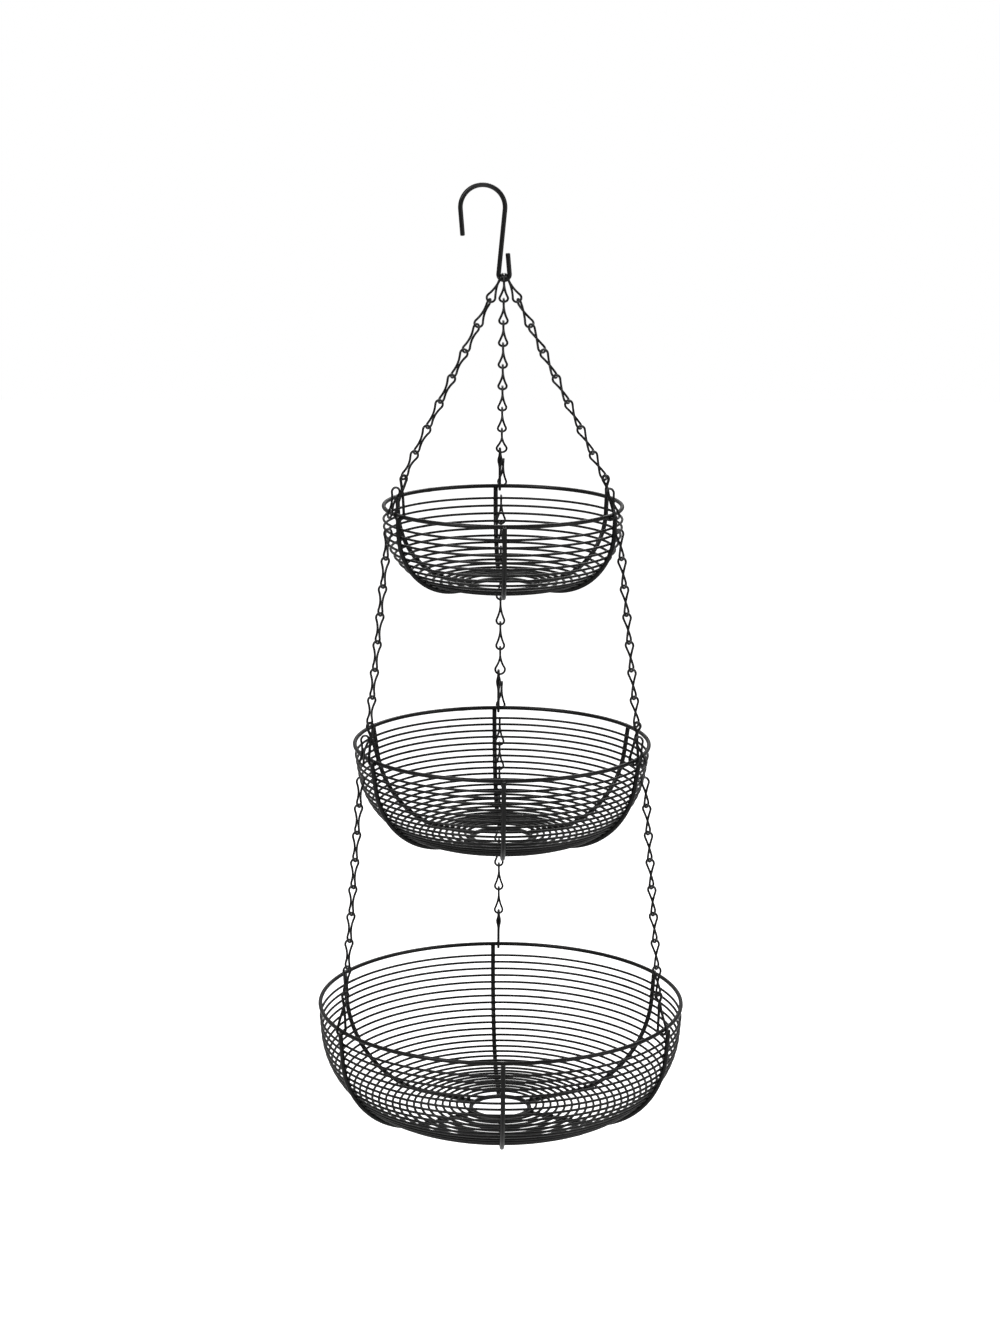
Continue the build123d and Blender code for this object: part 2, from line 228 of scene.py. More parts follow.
class Trees:
    """The Geometry Nodes trees that make the wire work."""

    def __init__(self) -> None:
        """Build the three trees once."""
        self.wire = self.build_wire()
        self.rings = self.build_rings()
        self.placed = self.build_placed()

    def build_wire(self) -> bpy.types.NodeTree:
        """Draft the tree that sweeps a round section along a course, as thick as its girth says.

        Returns:
            The tree.
        """
        draft = NodeTree("wire_along_course", "GeometryNodeTree")
        course = draft.take("Course", "Geometry")
        radius = draft.take("Radius", "Float")
        curve = draft.add("GeometryNodeMeshToCurve", {"Mesh": course})
        self.sweep(draft, curve.outputs[0], draft.calc("MULTIPLY", radius, draft.named("girth")))
        return draft.tree

    def build_rings(self) -> bpy.types.NodeTree:
        """Draft the tree that lays one butt-welded ring at each point, as wide as its reach.

        Returns:
            The tree.
        """
        draft = NodeTree("rings_at_points", "GeometryNodeTree")
        points = draft.take("Points", "Geometry")
        radius = draft.take("Radius", "Float")
        steps = draft.take("Steps", "Int")
        swell = draft.take("Weld Swell", "Float")
        weld_length = draft.take("Weld Length", "Float")
        seed = draft.take("Seed", "Int")
        circle = draft.add("GeometryNodeCurvePrimitiveCircle", {"Resolution": steps, "Radius": 1.0})
        turn = draft.add(
            "FunctionNodeRandomValue",
            {"Min": (0.0, 0.0, 0.0), "Max": (0.0, 0.0, math.tau), "Seed": seed},
            data_type="FLOAT_VECTOR",
        )
        reach = draft.named("reach")
        size = draft.add("ShaderNodeCombineXYZ", {"X": reach, "Y": reach, "Z": 1.0})
        turned = turn.outputs["Value"]
        rings = self.stand(draft, points, circle.outputs[0], turned, Scale=size.outputs[0])
        along = draft.add("GeometryNodeSplineParameter").outputs["Length"]
        length = draft.add("GeometryNodeSplineLength").outputs[0]
        near = draft.calc("MINIMUM", along, draft.calc("SUBTRACT", length, along))
        share = draft.calc("DIVIDE", near, weld_length)
        fall = draft.calc("MULTIPLY", draft.calc("MULTIPLY", share, share), -1.0)
        bulge = draft.calc("MULTIPLY_ADD", draft.calc("EXPONENT", fall), swell, 1.0)
        self.sweep(draft, rings, draft.calc("MULTIPLY", radius, bulge))
        return draft.tree

    def build_placed(self) -> bpy.types.NodeTree:
        """Draft the tree that stands a copy of one form at each point, turned as its turn says.

        Returns:
            The tree.
        """
        draft = NodeTree("forms_at_points", "GeometryNodeTree")
        points = draft.take("Points", "Geometry")
        form = draft.take("Form", "Object")
        body = draft.add("GeometryNodeObjectInfo", {"Object": form}, transform_space="ORIGINAL")
        turn = draft.named("turn", "FLOAT_VECTOR")
        self.paint(draft, self.stand(draft, points, body.outputs["Geometry"], turn))
        return draft.tree

    @staticmethod
    def stand(draft: NodeTree, points: Socket, form: Socket, turn: Socket, **more: Socket) -> Socket:
        """Stand a form at each point and make the copies real.

        Args:
            draft: The tree under construction.
            points: Socket that gives the points.
            form: Socket that gives what stands there.
            turn: Socket that gives each copy's turn, as Euler angles.
            more: Further inputs of the copies, by name.

        Returns:
            The socket that gives the copies.
        """
        spin = draft.add("FunctionNodeEulerToRotation", {0: turn})
        feeds = {"Points": points, "Instance": form, "Rotation": spin.outputs[0], **more}
        laid = draft.add("GeometryNodeInstanceOnPoints", feeds)
        return draft.add("GeometryNodeRealizeInstances", {"Geometry": laid.outputs[0]}).outputs[0]

    def sweep(self, draft: NodeTree, curve: Socket, thick: Socket) -> None:
        """End a tree: sweep the round section, smooth it and give it its finish.

        Args:
            draft: The tree under construction.
            curve: Socket that gives the curves.
            thick: Socket that gives the wire's radius along them.
        """
        sides = draft.take("Sides", "Int")
        section = draft.add("GeometryNodeCurvePrimitiveCircle", {"Resolution": sides, "Radius": 1.0})
        wire = draft.add(
            "GeometryNodeCurveToMesh",
            {"Curve": curve, "Profile Curve": section.outputs[0], "Scale": thick, "Fill Caps": True},
        )
        real = draft.add("GeometryNodeRealizeInstances", {"Geometry": wire.outputs[0]})
        smooth = draft.add("GeometryNodeSetShadeSmooth", {"Geometry": real.outputs[0]})
        self.paint(draft, smooth.outputs[0])

    @staticmethod
    def paint(draft: NodeTree, shape: Socket) -> None:
        """Give a shape its finish and put it out.

        Args:
            draft: The tree under construction.
            shape: Socket that gives the shape.
        """
        material = draft.take("Material", "Material")
        painted = draft.add("GeometryNodeSetMaterial", {"Geometry": shape, "Material": material})
        draft.give("Geometry", "Geometry", painted.outputs[0])


def input_key(tree: bpy.types.NodeTree, name: str) -> str:
    """Identifier of a tree's named input, by which a modifier's value is set."""
    sockets = tree.interface.items_tree
    return next(item.identifier for item in sockets if item.name == name and item.in_out == "INPUT")


def new_piece(name: str, mesh: bpy.types.Mesh) -> Piece:
    """Put a mesh into the scene as an object at the origin.

    Args:
        name: The object's name.
        mesh: Its mesh.

    Returns:
        The object.
    """
    piece = bpy.data.objects.new(name, mesh)
    bpy.context.scene.collection.objects.link(piece)
    return piece


def points_mesh(
    name: str, points: Sequence[Point], edges: Sequence[tuple[int, int]] = (), **values: Sequence[float]
) -> bpy.types.Mesh:
    """Make a mesh of points and edges that carries one number or one turn for each point.

    Args:
        name: The mesh's name.
        points: Its points.
        edges: Pairs of the points' numbers.
        values: By attribute, one number for each point, or three where it is a turn.

    Returns:
        The mesh.
    """
    mesh = bpy.data.meshes.new(name)
    mesh.from_pydata([tuple(point) for point in points], edges, [])
    for word, numbers in values.items():
        kind, key = ("FLOAT", "value") if len(numbers) == len(points) else ("FLOAT_VECTOR", "vector")
        mesh.attributes.new(word, kind, "POINT").data.foreach_set(key, numbers)
    return mesh


def grow(name: str, mesh: bpy.types.Mesh, tree: bpy.types.NodeTree, **values: object) -> Piece:
    """Run a tree on a mesh and keep the result as a plain mesh.

    Args:
        name: The new object's name.
        mesh: The course or the points that the tree works on.
        tree: The Geometry Nodes tree.
        values: Input values, with underscores for the spaces in their names.

    Returns:
        An object at the origin with no modifier.
    """
    seed = new_piece(name + "_seed", mesh)
    modifier = seed.modifiers.new("grow", "NODES")
    modifier.node_group = tree
    for word, value in values.items():
        modifier[input_key(tree, word.replace("_", " "))] = value
    bpy.context.view_layer.update()
    grown = seed.evaluated_get(bpy.context.evaluated_depsgraph_get())
    result = bpy.data.meshes.new_from_object(grown)
    seed.modifiers.remove(modifier)
    bpy.data.objects.remove(seed)
    result.name = name
    return new_piece(name, result)


@dataclass(frozen=True)
class CoatPattern:
    """How a powder coat varies over the wire, the same for every finish.

    Attributes:
        ripple: Detail and roughness of the noise that the ripples follow.
        patch: Scale, detail and roughness of the noise of the uneven sheen.
        speck: Scale, detail and roughness of the noise of dust and rubbed spots.
        facing_up: Upward part of the normal from which dust can lie, and where it lies thickest.
        settling: Speck values between which dust thickens.
        shade: Darkest and lightest share of the coat's tone.
        sheen: How far the roughness strays down and up.
        rub_floor: Rubbing where the specks are lowest.
        dust_roughness: How much dust adds to the roughness.
        dust_height: How much dust adds to the ripples' height.
        dust_colour: The dust's colour.
        steel_colour: The colour where the coat is rubbed.
    """

    ripple: tuple[float, float] = (2.0, 0.45)
    patch: tuple[float, float, float] = (38.0, 3.0, 0.55)
    speck: tuple[float, float, float] = (520.0, 4.0, 0.7)
    facing_up: Span = (0.35, 1.0)
    settling: Span = (0.42, 0.72)
    shade: Span = (0.75, 1.3)
    sheen: Span = (-0.07, 0.07)
    rub_floor: float = 0.5
    dust_roughness: float = 0.4
    dust_height: float = 0.3
    dust_colour: tuple[float, ...] = (0.16, 0.155, 0.145, 1.0)
    steel_colour: tuple[float, ...] = (0.21, 0.21, 0.215, 1.0)

    def build(self) -> bpy.types.NodeTree:
        """Draft the group: ripples, uneven sheen, settled dust and rubbed spots.

        Returns:
            The node group.
        """
        draft = NodeTree("powder_coat", "ShaderNodeTree")
        place = draft.take("Place", "Vector")
        rub, tone, roughness, grain, dust, wear = (
            draft.take(name, "Float") for name in ("Rub", "Tone", "Roughness", "Grain", "Dust", "Wear")
        )
        ripple, patch, speck = (
            draft.add(
                "ShaderNodeTexNoise", {"Vector": place, "Scale": scale, "Detail": detail, "Roughness": rough}
            ).outputs["Fac"]
            for scale, detail, rough in ((grain, *self.ripple), self.patch, self.speck)
        )

        facing = draft.add("ShaderNodeNewGeometry")
        upward = draft.add("ShaderNodeSeparateXYZ", {0: facing.outputs["Normal"]}).outputs["Z"]
        shelf = draft.remap(upward, old=self.facing_up, interpolation_type="SMOOTHSTEP")
        settled = draft.remap(speck, old=self.settling)
        dusted = draft.calc("MULTIPLY", draft.calc("MULTIPLY", shelf, settled), dust, clamp=True)
        rubbed = draft.calc("MULTIPLY", rub, draft.calc("ADD", speck, self.rub_floor))
        worn = draft.calc("MULTIPLY", rubbed, wear, clamp=True)

        level = draft.calc("MULTIPLY", tone, draft.remap(patch, new=self.shade))
        black = draft.add("ShaderNodeCombineColor", {0: level, 1: level, 2: level}).outputs[0]
        dirty = draft.blend(dusted, black, self.dust_colour)
        uneven = draft.calc("ADD", roughness, draft.remap(patch, new=self.sheen))
        matt = draft.calc("MULTIPLY_ADD", dusted, self.dust_roughness, uneven, clamp=True)
        draft.give("Color", "Color", draft.blend(worn, dirty, self.steel_colour))
        draft.give("Roughness", "Float", matt)
        draft.give("Bare", "Float", worn)
        draft.give("Height", "Float", draft.calc("MULTIPLY_ADD", dusted, self.dust_height, ripple))
        return draft.tree


@dataclass(frozen=True)
class CoatedWire:
    """Black powder coat on steel wire.

    Attributes:
        name: The material's name.
        tone: The coat's brightness.
        roughness: Its mean roughness.
        grain_size: Length of the coat's ripples.
        grain_depth: Height of the coat's ripples.
        dust: How much dust lies on what faces up.
        wear: How far the coat is polished where wires rub.
        shine: The shader's specular level.
        gloss: Weight of the clear layer on the coat.
        gloss_roughness: Roughness of that layer.
    """

    name: str
    tone: float = 0.004
    roughness: float = 0.36
    grain_size: float = 0.0011
    grain_depth: float = 0.00003
    dust: float = 0.12
    wear: float = 0.3
    shine: float = 0.22
    gloss: float = 0.08
    gloss_roughness: float = 0.2

    def build(self, coat: bpy.types.NodeTree) -> bpy.types.Material:
        """Make the material round the shared coat group.

        Args:
            coat: The node group that gives the coat's colour, roughness and height.

        Returns:
            The material.
        """
        material = bpy.data.materials.new(self.name)
        material.use_nodes = True
        tree = material.node_tree
        tree.nodes.clear()
        place = add_node(tree, "ShaderNodeTexCoord")
        rub = add_node(tree, "ShaderNodeAttribute", attribute_name="rub")
        feeds = {
            "Place": place.outputs["Object"],
            "Rub": rub.outputs["Fac"],
            "Tone": self.tone,
            "Roughness": self.roughness,
            "Grain": 1 / self.grain_size,
            "Dust": self.dust,
            "Wear": self.wear,
        }
        look = add_node(tree, "ShaderNodeGroup", feeds, node_tree=coat).outputs
        bump = add_node(tree, "ShaderNodeBump", {"Height": look["Height"], "Distance": self.grain_depth})
        shader = add_node(
            tree,
            "ShaderNodeBsdfPrincipled",
            {
                "Base Color": look["Color"],
                "Roughness": look["Roughness"],
                "Metallic": look["Bare"],
                "Normal": bump.outputs[0],
                "Specular IOR Level": self.shine,
                "Coat Weight": self.gloss,
                "Coat Roughness": self.gloss_roughness,
            },
        )
        add_node(tree, "ShaderNodeOutputMaterial", {"Surface": shader.outputs[0]})
        return material


def polar(radius: float, degrees: float) -> Point:
    """Point in the X-Z plane at a radius and an angle from +X towards +Z."""
    return Vector((radius * math.cos(math.radians(degrees)), 0.0, radius * math.sin(math.radians(degrees))))


def upright(height: float) -> Point:
    """Point or step straight up the Z axis."""
    return Vector((0.0, 0.0, height))


class Course:
    """The centre line of a bent wire, drawn point by point as straight runs and arcs."""

    def __init__(self, step: float) -> None:
        """Start an empty course.

        Args:
            step: Largest distance between points on its bends.
        """
        self.step = step
        self.points: list[Point] = []
        self.rubs: list[float] = []

    def to(self, *points: Point) -> "Course":
        """Run straight to each point in turn, past any that the course already stands on.

        Args:
            points: The points.

        Returns:
            The course itself.
        """
        for point in points:
            if self.points and (point - self.points[-1]).length < SAME_POINT:
                continue
            self.points.append(point)
            self.rubs.append(0.0)
        return self

    def run(self, end: Point, step: float) -> "Course":
        """Run straight to a point with even steps on the way.

        Args:
            end: The point.
            step: The largest step.

        Returns:
            The course itself.
        """
        start = self.points[-1]
        count = max(1, math.ceil((end - start).length / step))
        return self.to(*(start.lerp(end, number / count) for number in range(1, count + 1)))

    def arc(self, centre: Point, start: Point, end: Point, turn: float) -> "Course":
        """Bend round a centre from a start to an end.

        Args:
            centre: The arc's centre.
            start: Its first point.
            end: Its last point.
            turn: The angle that it turns through, in radians, under a half turn.

        Returns:
            The course itself.
        """
        if math.sin(turn) < FLAT_TURN:
            raise ValueError("a half turn or more needs two arcs")
        first, last = start - centre, end - centre
        across = last - first * (last.dot(first) / first.length_squared)
        across = across.normalized() * first.length
        count = max(2, math.ceil(first.length * turn / self.step))
        angles = [turn * number / count for number in range(count + 1)]
        return self.to(*(centre + first * math.cos(angle) + across * math.sin(angle) for angle in angles))

    def close(self) -> None:
        """Drop the last point, where it lies on the first."""
        self.points.pop()
        self.rubs.pop()

    def rub(self, spot: Point, reach: float, amount: float) -> None:
        """Wear the points near a spot by an amount that falls off over the reach."""
        for number, point in enumerate(self.points):
            self.rubs[number] += amount * math.exp(-(((point - spot).length / reach) ** 2))

    def mesh(self, name: str, closed: bool = False, tip: float = 0.0) -> bpy.types.Mesh:
        """Make the course a mesh of edges that carries its girth and its wear.

        Args:
            name: The mesh's name.
            closed: Whether the last point joins the first.
            tip: The wire's radius where its two ends are rounded, or zero.

        Returns:
            The mesh.
        """
        rows = [(point, 1.0, rub) for point, rub in zip(self.points, self.rubs)]
        for _ in range(2 if tip > 0 else 0):
            rows = self.round_tip(rows, tip)[::-1]
        edges = [(number, number + 1) for number in range(len(rows) - 1)]
        if closed:
            edges.append((len(rows) - 1, 0))
        points, girths, rubs = zip(*rows)
        return points_mesh(name, points, edges, girth=girths, rub=rubs)

    @staticmethod
    def round_tip(rows: list[tuple[Point, float, float]], tip: float) -> list[tuple[Point, float, float]]:
        """Round the edge of the wire's first end.

        Args:
            rows: The course's points with their girth and wear.
            tip: The wire's radius.

        Returns:
            The rows with the first one made a row for each step of the rounded edge.
        """
        end, _, rub = rows[0]
        along = (rows[1][0] - end).normalized()
        steps = []
        for angle in map(math.radians, TIP_ANGLES):
            depth = tip * TIP_ROUND * (1 - math.cos(angle))
            steps.append((end + along * depth, 1 - TIP_ROUND * (1 - math.sin(angle)), rub))
        return steps + rows[1:]


def nearest_on(line: list[Point], spot: Point) -> Point:
    """Find the point of a line of straight runs that is nearest to a spot.

    Args:
        line: The line's corners in order.
        spot: The spot.

    Returns:
        The nearest point, at a corner or on a run.
    """
    feet = []
    for start, end in zip(line, line[1:]):
        along = end - start
        share = (spot - start).dot(along) / along.length_squared
        feet.append(start + along * min(1.0, max(0.0, share)))
    return min(feet, key=lambda foot: (foot - spot).length)


@dataclass(frozen=True)
class Island:
    """One separate solid of a frame node, as plain arrays.

    Attributes:
        corners: Its vertices.
        centres: The middle of each of its triangles.
        areas: The area of each of its triangles.
    """

    corners: np.ndarray
    centres: np.ndarray
    areas: np.ndarray

    @property
    def low(self) -> np.ndarray:
        """Lowest corner of its box."""
        return self.corners.min(axis=0)

    @property
    def high(self) -> np.ndarray:
        """Highest corner of its box."""
        return self.corners.max(axis=0)

    @property
    def mean(self) -> np.ndarray:
        """Middle of its surface."""
        return np.average(self.centres, axis=0, weights=self.areas)


@dataclass(frozen=True)
class Solid:
    """A solid's middle and its own axes, the third one along its length.

    Attributes:
        centre: The middle of its box in its own axes.
        turn: Its axes as the columns of a rotation.
    """

    centre: Point
    turn: Matrix


def islands(node: str) -> list[Island]:
    """Split a frame node into its separate solids, from the highest to the lowest.

    Args:
        node: The node's name.

    Returns:
        The solids.
    """
    mesh = frame["nodes"][node].data
    places = np.empty(len(mesh.vertices) * 3, dtype=np.float32)
    mesh.vertices.foreach_get("co", places)
    places = places.reshape(-1, 3).astype(float)
    mesh.calc_loop_triangles()
    corners = np.empty(len(mesh.loop_triangles) * 3, dtype=np.int32)
    mesh.loop_triangles.foreach_get("vertices", corners)
    whole = np.round(places * MICRONS).astype(np.int64)
    _, first, merged = np.unique(whole, axis=0, return_index=True, return_inverse=True)
    triangles = merged.reshape(-1)[corners].reshape(-1, 3)
    places = places[first]
    # Each point takes the lowest label that it can reach over the triangles
    label = np.arange(len(places))
    while True:
        fresh = label.copy()
        np.minimum.at(fresh, triangles.ravel(), np.repeat(label[triangles].min(axis=1), 3))
        fresh = fresh[fresh]
        if np.array_equal(fresh, label):
            break
        label = fresh
    found = []
    for word in np.unique(label[triangles[:, 0]]):
        faces = places[triangles[label[triangles[:, 0]] == word]]
        areas = np.linalg.norm(np.cross(faces[:, 1] - faces[:, 0], faces[:, 2] - faces[:, 0]), axis=1) / 2
        found.append(Island(places[label == word], faces.mean(axis=1), areas))
    return sorted(found, key=lambda island: -island.high[2])


def widest(offsets: np.ndarray, weights: np.ndarray) -> np.ndarray:
    """Direction in which weighted points spread the furthest."""
    return np.linalg.eigh(np.cov(offsets.T, aweights=weights))[1][:, 2]


def solids(node: str) -> list[Solid]:
    """Measure each solid of a frame node, from the highest to the lowest.

    Args:
        node: The node's name.

    Returns:
        The solids. The third axis leads up along the solid's length, and the first lies along the
        widest way across its upper part.
    """
    found = []
    for island in islands(node):
        mean = island.mean
        offset = island.centres - mean
        length = widest(offset, island.areas)
        length = length if length[2] > 0 else -length
        along = offset @ length
        upper = along > along.max() * UPPER_SHARE
        wide = widest(offset[upper] - np.outer(along[upper], length), island.areas[upper])
        wide = wide - length * (wide @ length)
        wide /= np.linalg.norm(wide)
        axes = np.stack([wide, np.cross(length, wide), length])
        local = (island.corners - mean) @ axes.T
        middle = mean + ((local.max(axis=0) + local.min(axis=0)) / 2) @ axes
        found.append(Solid(Vector(middle), Matrix(axes.tolist()).transposed()))
    return found


@dataclass
class Workshop:
    """What every sub-assembly shares: the trees, the finishes and how rings are drawn.

    Attributes:
        ring_steps: Number of straight runs in a ring.
        weld_swell: How much thicker a ring's wire is at its own weld, as a share of its radius.
        weld_length: How far that weld reaches along the ring.
    """

    ring_steps: int = 160
    weld_swell: float = 0.10
    weld_length: float = 0.0016

    def __post_init__(self) -> None:
        """Build the trees, the coat group and one finish for each kind of wire."""
        self.trees = Trees()
        coat = CoatPattern().build()
        self.finishes = {
            WireKind.HOOK: CoatedWire("hook_coat", roughness=0.33, grain_size=0.0014).build(coat),
            WireKind.LINK: CoatedWire("link_coat", roughness=0.34, grain_size=0.0008, wear=0.7).build(coat),
            WireKind.HANGER: CoatedWire("hanger_coat", roughness=0.36, grain_size=0.0009).build(coat),
            WireKind.RIM: CoatedWire("rim_coat", roughness=0.34, grain_size=0.0013).build(coat),
            WireKind.RIB: CoatedWire("rib_coat", roughness=0.36, grain_size=0.0013).build(coat),
            WireKind.RING: CoatedWire("ring_coat", roughness=0.38, grain_size=0.0010, dust=0.3).build(coat),
        }

    def bend_wire(self, name: str, mesh: bpy.types.Mesh, kind: WireKind) -> Piece:
        """Turn a course into a coated wire of a kind, under a name."""
        finish = self.finishes[kind]
        return grow(name, mesh, self.trees.wire, Radius=kind.radius, Sides=kind.sides, Material=finish)

    def stand_forms(self, name: str, form: Piece, places: list[Place], kind: WireKind) -> Piece:
        """Stand copies of a form at places as one piece.

        Args:
            name: The piece's name.
            form: What is copied.
            places: A point and a turn for each copy.
            kind: Which wire's finish it gets.

        Returns:
            The piece.
        """
        turns = [angle for _, turn in places for angle in turn.to_euler()]
        mesh = points_mesh(name, [spot for spot, _ in places], turn=turns)
        return grow(name, mesh, self.trees.placed, Form=form, Material=self.finishes[kind])

    def lay_rings(self, name: str, rings: list[Ring], kind: WireKind, seed: int, sides: int) -> Piece:
        """Lay round rings of wire.

        Args:
            name: The piece's name.
            rings: Centre and radius of each ring.
            kind: Which wire they are bent from.
            seed: Fixes where each ring's weld lies.
            sides: The section's number of sides.

        Returns:
            The piece.
        """
        return grow(
            name,
            points_mesh(name, [centre for centre, _ in rings], reach=[reach for _, reach in rings]),
            self.trees.rings,
            Radius=kind.radius,
            Sides=sides,
            Steps=self.ring_steps,
            Weld_Swell=self.weld_swell,
            Weld_Length=self.weld_length,
            Seed=seed,
            Material=self.finishes[kind],
        )


def settle(piece: Piece, body: str, *nodes: str, slot: str = "") -> None:
    """Ride a piece on its body and hide the nodes that it replaces.

    Args:
        piece: The finished piece.
        body: The body that it moves with.
        nodes: The nodes that it replaces.
        slot: Not used.
    """
    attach(piece, body)
    if nodes:
        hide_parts(*nodes)
    log.info("%s rides on %s", piece.name, body)


@dataclass
class HookWork:
    """The S-hook: a wide bend for the support, a straight leg and a narrow bend for the chains.

    Attributes:
        wire: Which wire it is bent from.
        top_radius: Mean radius of the wide bend.
        bottom_radius: Mean radius of the narrow bend.
        offset: From the wide bend's centre to the narrow one's, along X.
        height: From the wide bend's centre down to the narrow one's.
        top_tail: Length of the straight end beyond the wide bend.
        top_tail_lean: That end's lean in degrees.
        bottom_tail: Length of the straight end beyond the narrow bend.
        bottom_tail_lean: That end's lean in degrees.
        run_step: Largest step on the straight runs.
        top_step: Largest step on the wide bend.
        bottom_step: Largest step on the narrow bend.
        crest_rub: Reach and amount of the wear where the hook hangs.
        belly_rub: Reach and amount of the wear where the chains hang.
    """

    wire: WireKind = WireKind.HOOK
    top_radius: float = 0.0187
    bottom_radius: float = 0.0046
    offset: float = 0.0181
    height: float = 0.0558
    top_tail: float = 0.0222
    top_tail_lean: float = 4.8
    bottom_tail: float = 0.0175
    bottom_tail_lean: float = 5.0
    run_step: float = 0.003
    top_step: float = 0.0010
    bottom_step: float = 0.0004
    crest_rub: tuple[float, float] = (0.010, 0.45)
    belly_rub: tuple[float, float] = (0.003, 0.8)

    @property
    def top_bend(self) -> Point:
        """Centre of the wide bend, whose inside top is the origin."""
        return upright(self.wire.radius - self.top_radius)

    @property
    def bottom_bend(self) -> Point:
        """Centre of the narrow bend."""
        return self.top_bend + Vector((self.offset, 0.0, -self.height))

    def course(self) -> Course:
        """Draw the centre line from the upper tail's end to the lower one's.

        Returns:
            The course.
        """
        top, bottom = self.top_bend, self.bottom_bend
        reach = math.hypot(self.offset, self.height)
        leg = math.degrees(
            math.atan2(self.height, -self.offset) - math.asin((self.top_radius + self.bottom_radius) / reach)
        )
        top_exit = top + polar(self.top_radius, 180 + self.top_tail_lean)
        crest = top + polar(self.top_radius, 90)
        leg_top = top - polar(self.top_radius, leg + 90)
        leg_bottom = bottom + polar(self.bottom_radius, leg + 90)
        belly = bottom + polar(self.bottom_radius, -90)
        bottom_exit = bottom + polar(self.bottom_radius, self.bottom_tail_lean)
        course = Course(step=self.top_step)
        course.to(top_exit + polar(self.top_tail, self.top_tail_lean - 90)).run(top_exit, self.run_step)
        course.arc(top, top_exit, crest, math.radians(90 + self.top_tail_lean))
        course.arc(top, crest, leg_top, math.radians(180 - leg))
        course.run(leg_bottom, self.run_step)
        course.step = self.bottom_step
        course.arc(bottom, leg_bottom, belly, math.radians(180 - leg))
        course.arc(bottom, belly, bottom_exit, math.radians(90 + self.bottom_tail_lean))
        course.run(bottom_exit + polar(self.bottom_tail, 90 + self.bottom_tail_lean), self.run_step)
        course.rub(crest, *self.crest_rub)
        course.rub(belly, *self.belly_rub)
        return course

    def build(self, shop: Workshop) -> None:
        """Bend the hook and put it on the root body."""
        mesh = self.course().mesh("hook_course", tip=self.wire.radius)
        settle(shop.bend_wire("s_hook_wire", mesh, self.wire), "root", "s_hook")


@dataclass(frozen=True)
class LinkForm:
    """One double-loop link, drawn as a closed wire that crosses itself at the waist.

    Attributes:
        top_radius: Mean radius of the loop in the X-Z plane.
        foot_radius: Mean radius of the loop in the Y-Z plane.
        length: Distance between the loops' far centre lines.
        crossing_share: Share of the shorter leg over which each strand bends past the waist.
        step: Largest step on the bends.
        rub_reach: Reach of the wear inside each loop.
        rub_amount: Amount of that wear.
    """

    top_radius: float = 0.0036
    foot_radius: float = 0.0036
    length: float = 0.02615
    crossing_share: float = 0.885
    step: float = 0.0007
    rub_reach: float = 0.0019
    rub_amount: float = 0.9

    def half(self, radius: float) -> tuple[Point, Point, float]:
        """Lay out a loop above the waist.

        Args:
            radius: The loop's mean radius.

        Returns:
            Its centre, the point where it passes into its straight leg, and its turn up to there.
        """
        centre = self.length / 2 - radius
        angle = math.asin(radius / centre)
        leg = Vector((radius * math.cos(angle), 0.0, centre - radius * math.sin(angle)))
        return upright(centre), leg, math.pi / 2 + angle

    def course(self) -> Course:
        """Draw the centre line round both loops, through both crossings of the waist.

        Returns:
            The course.
        """
        top_centre, top_exit, top_turn = self.half(self.top_radius)
        foot_centre, foot_exit, foot_turn = self.half(self.foot_radius)
        over = Matrix.Rotation(math.pi / 2, 3, "Z") @ Matrix.Rotation(math.pi, 3, "Y")
        half_turn = Matrix.Rotation(math.pi, 3, "Z")
        foot_centre, foot_exit = over @ foot_centre, over @ foot_exit
        into, out = top_exit.normalized(), foot_exit.normalized()
        turn = math.pi - into.angle(out)
        tangent = min(top_exit.length, foot_exit.length) * self.crossing_share
        start, end = into * tangent, out * tangent
        centre = (into + out).normalized() * (tangent / math.sin(turn / 2))
        top, foot = upright(self.length / 2), upright(-self.length / 2)
        course = Course(step=self.step)
        course.arc(top_centre, top, top_exit, top_turn).to(start)
        course.arc(centre, start, end, turn).to(foot_exit)
        course.arc(foot_centre, foot_exit, foot, foot_turn)
        course.arc(foot_centre, foot, half_turn @ foot_exit, foot_turn).to(half_turn @ end)
        course.arc(half_turn @ centre, half_turn @ end, half_turn @ start, turn).to(half_turn @ top_exit)
        course.arc(top_centre, half_turn @ top_exit, top, top_turn)
        course.close()
        for seat in (top - upright(WireKind.LINK.radius), foot + upright(WireKind.LINK.radius)):
            course.rub(seat, self.rub_reach, self.rub_amount)
        return course


def join_pieces(name: str, parts: list[Piece]) -> Piece:
    """Join plain mesh objects at the origin into one.

    Args:
        name: The new object's name.
        parts: The objects, all of one finish, which are used up.

    Returns:
        The new object.
    """
    joined = bmesh.new()
    material = parts[0].data.materials[0]
    for part in parts:
        joined.from_mesh(part.data)
    mesh = bpy.data.meshes.new(name)
    joined.to_mesh(mesh)
    joined.free()
    mesh.materials.append(material)
    mesh.shade_smooth()
    for part in parts:
        bpy.data.objects.remove(part)
    return new_piece(name, mesh)


